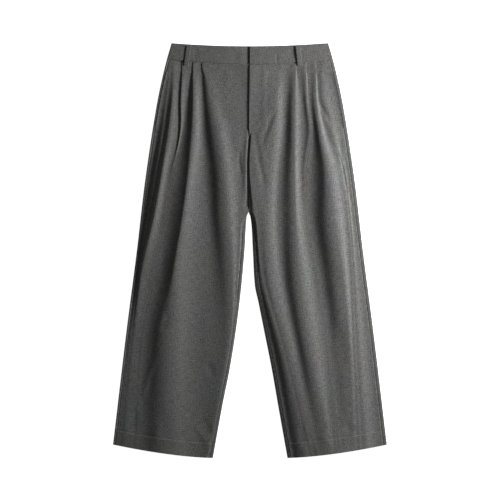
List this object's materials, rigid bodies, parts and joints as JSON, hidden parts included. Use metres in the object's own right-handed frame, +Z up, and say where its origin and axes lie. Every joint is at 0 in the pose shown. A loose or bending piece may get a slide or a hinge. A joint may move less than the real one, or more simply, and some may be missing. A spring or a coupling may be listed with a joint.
{
  "type": "pleated dress trousers",
  "caption": "Wide-leg dress trousers with forward pleats, a plain waistband with belt loops, a lapped fly and slanted side pockets, laid flat with the front up.",
  "frame": {"origin": "middle of the underside, where the garment lies on the surface", "axes": "+Y towards the waistband, +X towards the wearer's left, +Z up out of the front"},
  "size_m": [0.6982, 1.0583, 0.0169],
  "materials": {
    "grey_suiting": "matt mid-grey wool-blend suiting, fine heathered twill weave"
  },
  "bodies": {
    "root": {"front_right": "grey_suiting", "front_left": "grey_suiting", "back_right": "grey_suiting", "back_left": "grey_suiting", "waistband_right": "grey_suiting", "waistband_left": "grey_suiting", "belt_loop_right": "grey_suiting", "belt_loop_left": "grey_suiting", "pocket_facing_right": "grey_suiting", "pocket_facing_left": "grey_suiting"}
  },
  "joints": []
}
